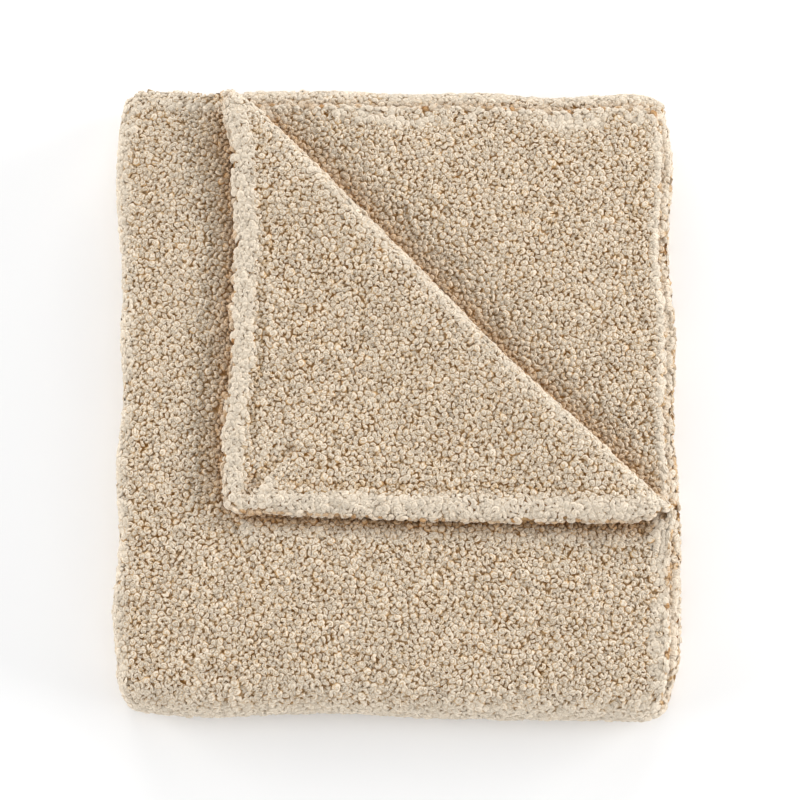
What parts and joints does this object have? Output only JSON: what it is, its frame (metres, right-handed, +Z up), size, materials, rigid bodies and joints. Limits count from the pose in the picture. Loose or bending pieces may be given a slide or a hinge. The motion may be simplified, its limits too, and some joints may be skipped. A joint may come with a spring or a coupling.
{
  "type": "teddy fleece throw",
  "caption": "Curly teddy fleece throw, letter-folded both ways into a soft stack, with the free corner of its top leaf turned back over a diagonal fold.",
  "frame": {"origin": "on the surface that the folded throw lies on, under the middle of its outline", "axes": "+X across the folded throw to its right, with the wide fold on the left; +Y from the near rounded fold to the far edge; +Z up"},
  "size_m": [0.4415, 0.5054, 0.0609],
  "materials": {
    "teddy_fleece": "cream beige curly polyester pile on both faces, matt, with warm brown shade between the curls"
  },
  "bodies": {
    "root": {"throw": "teddy_fleece"}
  },
  "joints": []
}
